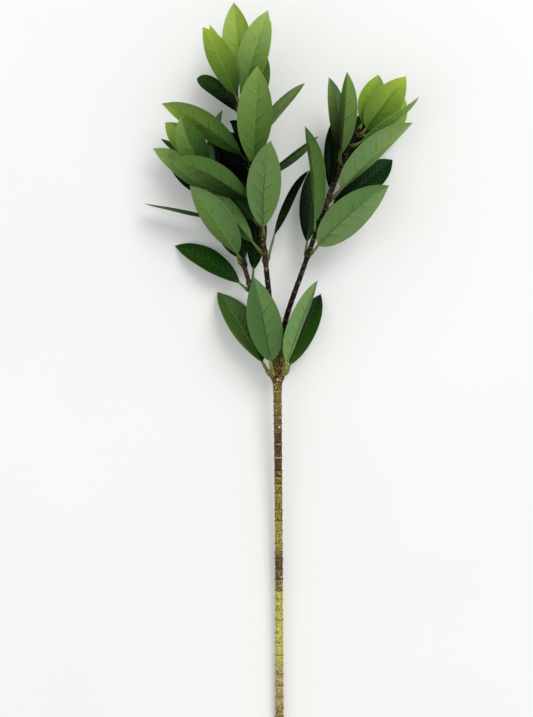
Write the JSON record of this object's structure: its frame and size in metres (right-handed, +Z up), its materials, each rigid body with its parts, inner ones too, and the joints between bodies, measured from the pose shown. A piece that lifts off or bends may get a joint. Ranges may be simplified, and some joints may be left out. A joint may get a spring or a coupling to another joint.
{
  "type": "bay leaf branch",
  "caption": "Cut bay branch lying flat: a long ringed stem that forks into slender twigs with pointed oval leaves, dark above and pale beneath, lime at the tips.",
  "frame": {"origin": "middle of the branch's bounding box, on the surface it lies on", "axes": "+Y from the cut end of the stem to the leaf tips, +X to the right seen from above, +Z up"},
  "size_m": [0.2836, 0.8232, 0.0838],
  "materials": {
    "stem_bark": "matt, rough and ringed, in patches of olive, yellow-green and red-brown",
    "twig_bark": "matt and rough, dark brown with pale specks",
    "mature_leaf": "satin deep green above with paler veins, matt sage green beneath",
    "turning_leaf": "satin mid green, lighter towards edge and tip",
    "young_leaf": "satin lime green with a pale midrib"
  },
  "bodies": {
    "root": {"main_stem": "stem_bark", "left_twig": "twig_bark", "middle_twig": "twig_bark", "right_twig": "twig_bark", "fork_leaf_1": "mature_leaf", "fork_leaf_2": "mature_leaf", "fork_leaf_3": "mature_leaf", "fork_leaf_4": "mature_leaf", "left_twig_leaf_1": "mature_leaf", "left_twig_leaf_2": "mature_leaf", "left_twig_leaf_3": "mature_leaf", "left_twig_leaf_4": "mature_leaf", "left_twig_leaf_5": "mature_leaf", "left_twig_leaf_6": "mature_leaf", "left_twig_leaf_7": "mature_leaf", "left_twig_leaf_8": "mature_leaf", "left_twig_leaf_9": "mature_leaf", "left_twig_leaf_10": "turning_leaf", "left_twig_leaf_11": "turning_leaf", "left_twig_leaf_12": "young_leaf", "left_twig_leaf_13": "turning_leaf", "middle_twig_leaf_1": "mature_leaf", "middle_twig_leaf_2": "mature_leaf", "middle_twig_leaf_3": "mature_leaf", "middle_twig_leaf_4": "mature_leaf", "middle_twig_leaf_5": "mature_leaf", "middle_twig_leaf_6": "mature_leaf", "middle_twig_leaf_7": "mature_leaf", "middle_twig_leaf_8": "mature_leaf", "middle_twig_leaf_9": "mature_leaf", "middle_twig_leaf_10": "mature_leaf", "middle_twig_leaf_11": "mature_leaf", "middle_twig_leaf_12": "mature_leaf", "middle_twig_leaf_13": "mature_leaf", "middle_twig_leaf_14": "mature_leaf", "middle_twig_leaf_15": "young_leaf", "middle_twig_leaf_16": "turning_leaf", "middle_twig_leaf_17": "young_leaf", "middle_twig_leaf_18": "turning_leaf", "middle_twig_leaf_19": "young_leaf", "right_twig_leaf_1": "mature_leaf", "right_twig_leaf_2": "mature_leaf", "right_twig_leaf_3": "mature_leaf", "right_twig_leaf_4": "mature_leaf", "right_twig_leaf_5": "mature_leaf", "right_twig_leaf_6": "mature_leaf", "right_twig_leaf_7": "mature_leaf", "right_twig_leaf_8": "mature_leaf", "right_twig_leaf_9": "turning_leaf", "right_twig_leaf_10": "young_leaf", "right_twig_leaf_11": "young_leaf", "right_twig_leaf_12": "young_leaf", "right_twig_leaf_13": "mature_leaf"}
  },
  "joints": []
}
